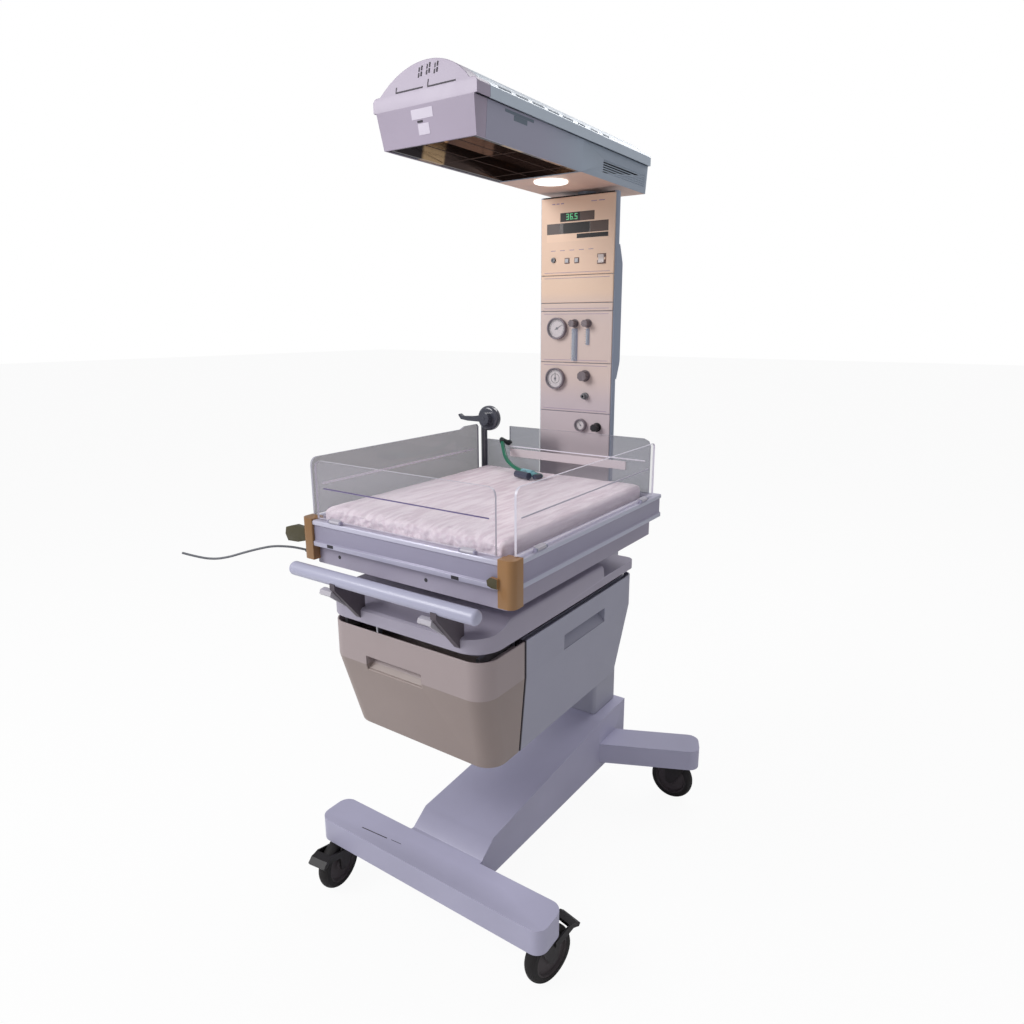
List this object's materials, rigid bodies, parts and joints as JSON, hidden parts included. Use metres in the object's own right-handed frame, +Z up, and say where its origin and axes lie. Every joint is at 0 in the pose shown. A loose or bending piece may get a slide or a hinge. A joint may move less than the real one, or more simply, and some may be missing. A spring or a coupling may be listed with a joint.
{
  "type": "infant warmer",
  "caption": "Open infant warmer on casters: swinging heated hood on a column with gauges and knobs, tilting bed with folding clear sides, drawers, push bar and braked wheels.",
  "frame": {"origin": "on the floor under the centre of the footprint", "axes": "+Z up; -Y towards the foot end with the push bar; +X to the right of someone facing the foot end; the column stands at +Y"},
  "size_m": [0.8711, 1.0466, 1.863],
  "materials": {
    "base_paint": "satin powder coat",
    "post_paint": "satin powder coat",
    "fork_metal": "satin",
    "caster_wheel": "matt tread with a satin hub",
    "pedal": "satin",
    "tray": "fine grain",
    "foot_drawer": "satin",
    "side_drawer": "satin",
    "cabinet": "satin",
    "runner": "plain",
    "bar": "satin coat",
    "gusset": "satin",
    "squeeze": "satin",
    "column": "satin powder coat",
    "module_face": "satin",
    "window": "clear over dark",
    "port": "satin",
    "gauge_case": "satin rim, white dial",
    "gauge_lens": "clear",
    "flow_tube": "clear",
    "hook": "black coat",
    "rail": "satin anodised",
    "pan": "satin",
    "mattress": "woven cover",
    "corner": "satin",
    "panel_clear": "clear",
    "panel_smoked": "smoky",
    "label_strip": "satin",
    "yoke": "satin",
    "clamp": "polished dome",
    "fitting": "satin",
    "hose": "soft clear green",
    "stay": "matt",
    "tee": "clear plastic",
    "hood_cap": "satin",
    "hood_top": "satin",
    "hood_side": "satin",
    "reflector": "polished",
    "heater": "sheathed rod",
    "lamp": "frosted",
    "button": "satin",
    "rocker": "satin",
    "knob": "fluted",
    "knob_dark": "fluted"
  },
  "bodies": {
    "warmer_frame": {"base_frame": "base_paint", "post": "post_paint", "chassis_tray": "tray", "cabinet_shell": "cabinet", "drawer_runners": "runner", "handle_bar": "bar", "bar_brackets": "gusset", "column_cover": "column", "control_panel": "module_face", "module_panels": "module_face", "display_windows": "window", "panel_ports": "port", "gauge_cases": "gauge_case", "gauge_lenses": "gauge_lens", "flow_tubes": "flow_tube", "rear_hooks": "hook"},
    "bed": {"bed_frame": "rail", "bed_pan": "pan", "mattress": "mattress", "corner_posts": "corner", "rear_panel": "panel_smoked", "label_strip": "label_strip", "tilt_yoke": "yoke", "clamp_body": "clamp", "hose_fittings": "fitting", "hose": "hose", "t_piece": "tee", "stay_wire": "stay"},
    "hood": {"top_cover": "hood_top", "front_cap": "hood_cap", "lower_shell": "hood_side", "reflector": "reflector", "heater_element": "heater", "lamp_lens": "lamp"},
    "foot_panel": {"front_panel": "panel_clear"},
    "left_side": {"left_panel": "panel_smoked"},
    "right_side": {"right_panel": "panel_clear"},
    "left_squeeze": {"squeeze_left": "squeeze"},
    "right_squeeze": {"squeeze_right": "squeeze"},
    "clamp_wing": {"clamp_lever": "clamp"},
    "foot_drawer": {"front_drawer": "foot_drawer"},
    "bin_drawer": {"side_drawer": "side_drawer"},
    "left_button": {"button_left": "button"},
    "right_button": {"button_right": "button"},
    "rocker": {"power_switch": "rocker"},
    "flow_knob": {"knob_flow": "knob"},
    "mix_knob": {"knob_mix": "knob"},
    "suction_knob": {"knob_suction": "knob"},
    "outlet_knob": {"knob_outlet": "knob_dark"},
    "fork_front_right": {"caster_fork_front_right": "fork_metal"},
    "wheel_front_right": {"caster_wheel_front_right": "caster_wheel"},
    "pedal_front_right": {"brake_pedal_front_right": "pedal"},
    "fork_front_left": {"caster_fork_front_left": "fork_metal"},
    "wheel_front_left": {"caster_wheel_front_left": "caster_wheel"},
    "pedal_front_left": {"brake_pedal_front_left": "pedal"},
    "fork_rear_right": {"caster_fork_rear_right": "fork_metal"},
    "wheel_rear_right": {"caster_wheel_rear_right": "caster_wheel"},
    "fork_rear_left": {"caster_fork_rear_left": "fork_metal"},
    "wheel_rear_left": {"caster_wheel_rear_left": "caster_wheel"}
  },
  "joints": [
    {"name": "swivel_front_right", "type": "hinge", "parent": "warmer_frame", "child": "fork_front_right", "pos_m": [0.292, -0.34, 0.152], "axis": [0, 0, 1], "continuous": true},
    {"name": "spin_front_right", "type": "hinge", "parent": "fork_front_right", "child": "wheel_front_right", "pos_m": [0.29865, -0.3087, 0.0625], "axis": [-0.9781, 0.2079, 0], "continuous": true},
    {"name": "pedal_front_right_hinge", "type": "hinge", "parent": "fork_front_right", "child": "pedal_front_right", "pos_m": [0.30032, -0.30087, 0.098], "axis": [-0.9781, 0.2079, 0], "range_deg": [0, 8]},
    {"name": "swivel_front_left", "type": "hinge", "parent": "warmer_frame", "child": "fork_front_left", "pos_m": [-0.292, -0.34, 0.152], "axis": [0, 0, 1], "continuous": true},
    {"name": "spin_front_left", "type": "hinge", "parent": "fork_front_left", "child": "wheel_front_left", "pos_m": [-0.2881, -0.37176, 0.0625], "axis": [0.9925, 0.1219, 0], "continuous": true},
    {"name": "pedal_front_left_hinge", "type": "hinge", "parent": "fork_front_left", "child": "pedal_front_left", "pos_m": [-0.28713, -0.3797, 0.098], "axis": [0.9925, 0.1219, 0], "range_deg": [0, 8]},
    {"name": "swivel_rear_right", "type": "hinge", "parent": "warmer_frame", "child": "fork_rear_right", "pos_m": [0.31, 0.43493, 0.152], "axis": [0, 0, 1], "continuous": true},
    {"name": "spin_rear_right", "type": "hinge", "parent": "fork_rear_right", "child": "wheel_rear_right", "pos_m": [0.278, 0.43493, 0.0625], "axis": [0, -1, 0], "continuous": true},
    {"name": "swivel_rear_left", "type": "hinge", "parent": "warmer_frame", "child": "fork_rear_left", "pos_m": [-0.31, 0.43493, 0.152], "axis": [0, 0, 1], "continuous": true},
    {"name": "spin_rear_left", "type": "hinge", "parent": "fork_rear_left", "child": "wheel_rear_left", "pos_m": [-0.27849, 0.42937, 0.0625], "axis": [0.1736, 0.9848, 0], "continuous": true},
    {"name": "bed_tilt", "type": "hinge", "parent": "warmer_frame", "child": "bed", "pos_m": [0, -0.084, 0.852], "axis": [1, 0, 0], "range_deg": [-8, 8]},
    {"name": "hood_swing", "type": "hinge", "parent": "warmer_frame", "child": "hood", "pos_m": [0, 0.338, 1.7145], "axis": [0, 0, 1], "range_deg": [-90, 90]},
    {"name": "foot_panel_hinge", "type": "hinge", "parent": "bed", "child": "foot_panel", "pos_m": [0, -0.41, 0.981], "axis": [1, 0, 0], "range_deg": [0, 120]},
    {"name": "left_panel_hinge", "type": "hinge", "parent": "bed", "child": "left_side", "pos_m": [-0.2795, -0.087, 0.981], "axis": [0, -1, 0], "range_deg": [0, 175]},
    {"name": "right_panel_hinge", "type": "hinge", "parent": "bed", "child": "right_side", "pos_m": [0.2795, -0.087, 0.981], "axis": [0, 1, 0], "range_deg": [0, 175]},
    {"name": "left_squeeze_hinge", "type": "hinge", "parent": "warmer_frame", "child": "left_squeeze", "pos_m": [-0.1236, -0.437, 0.822], "axis": [-1, 0, 0], "range_deg": [0, 8], "stiffness_Nm_per_rad": 3, "springref_deg": -5.73},
    {"name": "right_squeeze_hinge", "type": "hinge", "parent": "warmer_frame", "child": "right_squeeze", "pos_m": [0.1444, -0.437, 0.822], "axis": [-1, 0, 0], "range_deg": [0, 8], "stiffness_Nm_per_rad": 3, "springref_deg": -5.73},
    {"name": "clamp_lever_hinge", "type": "hinge", "parent": "bed", "child": "clamp_wing", "pos_m": [-0.245, 0.2135, 1.131], "axis": [0, 1, 0], "range_deg": [0, 100]},
    {"name": "foot_drawer_slide", "type": "slide", "parent": "warmer_frame", "child": "foot_drawer", "axis": [0, -1, 0], "range_m": [0, 0.1]},
    {"name": "bin_drawer_slide", "type": "slide", "parent": "warmer_frame", "child": "bin_drawer", "axis": [1, 0, 0], "range_m": [0, 0.28]},
    {"name": "left_button_press", "type": "slide", "parent": "warmer_frame", "child": "left_button", "axis": [0, 1, 0], "range_m": [0, 0.002], "stiffness_N_per_m": 300},
    {"name": "right_button_press", "type": "slide", "parent": "warmer_frame", "child": "right_button", "axis": [0, 1, 0], "range_m": [0, 0.002], "stiffness_N_per_m": 300},
    {"name": "rocker_hinge", "type": "hinge", "parent": "warmer_frame", "child": "rocker", "pos_m": [0.073, 0.2865, 1.551], "axis": [1, 0, 0], "range_deg": [-8, 8]},
    {"name": "flow_knob_turn", "type": "hinge", "parent": "warmer_frame", "child": "flow_knob", "pos_m": [-0.001, 0.28, 1.392], "axis": [0, -1, 0], "range_deg": [0, 300]},
    {"name": "mix_knob_turn", "type": "hinge", "parent": "warmer_frame", "child": "mix_knob", "pos_m": [0.038, 0.28, 1.392], "axis": [0, -1, 0], "range_deg": [0, 300]},
    {"name": "suction_knob_turn", "type": "hinge", "parent": "warmer_frame", "child": "suction_knob", "pos_m": [0.033, 0.28, 1.257], "axis": [0, -1, 0], "range_deg": [0, 300]},
    {"name": "outlet_knob_turn", "type": "hinge", "parent": "warmer_frame", "child": "outlet_knob", "pos_m": [0.072, 0.28, 1.123], "axis": [0, -1, 0], "range_deg": [0, 300]}
  ],
  "couplings": [
    {"joint": "right_squeeze_hinge", "follows": "left_squeeze_hinge", "ratio": 1}
  ]
}
